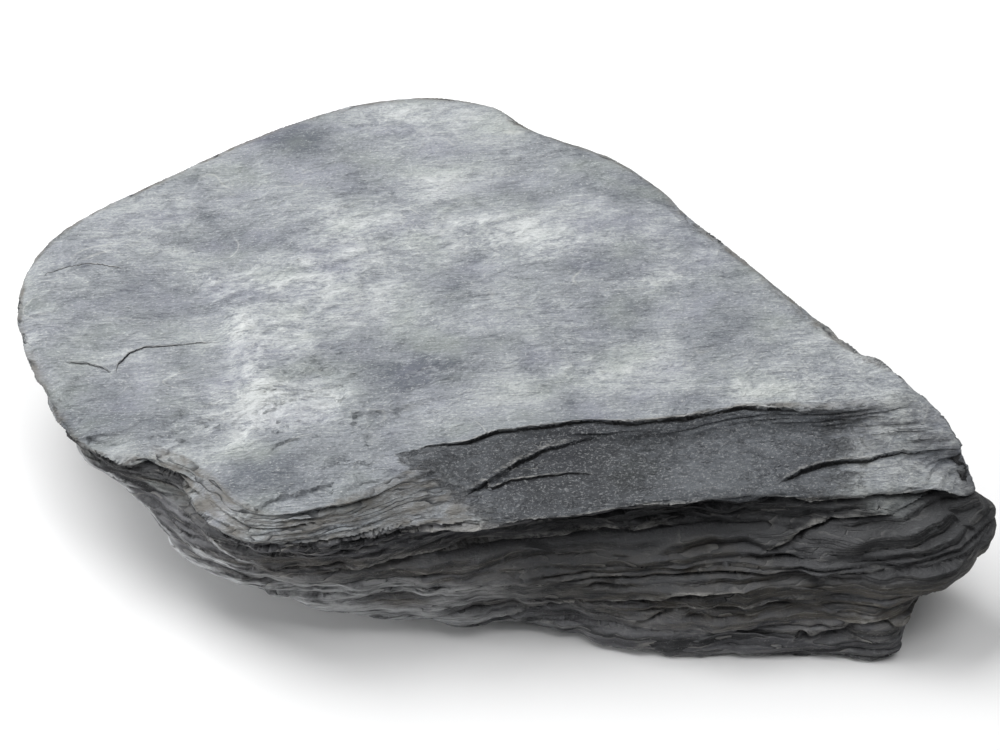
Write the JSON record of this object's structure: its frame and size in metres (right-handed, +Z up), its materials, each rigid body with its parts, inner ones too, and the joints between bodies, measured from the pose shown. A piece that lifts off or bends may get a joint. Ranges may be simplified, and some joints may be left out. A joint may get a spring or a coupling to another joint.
{
  "type": "slate slab",
  "caption": "Rough slab of slate with a flat dipping cleavage top, a stepped ledge along the front and broken layered sides, resting on a flat foot.",
  "frame": {"origin": "on the ground, under the middle of the slab's bounding box", "axes": "+X along the slab's length, from the thin left end to the blunt nose; +Y to the back, away from the stepped front; +Z up, across the slab's thickness"},
  "size_m": [0.4368, 0.3274, 0.0873],
  "materials": {
    "slate": "natural cleaved and weathered, matt"
  },
  "bodies": {
    "root": {"slate_slab": "slate"}
  },
  "joints": []
}
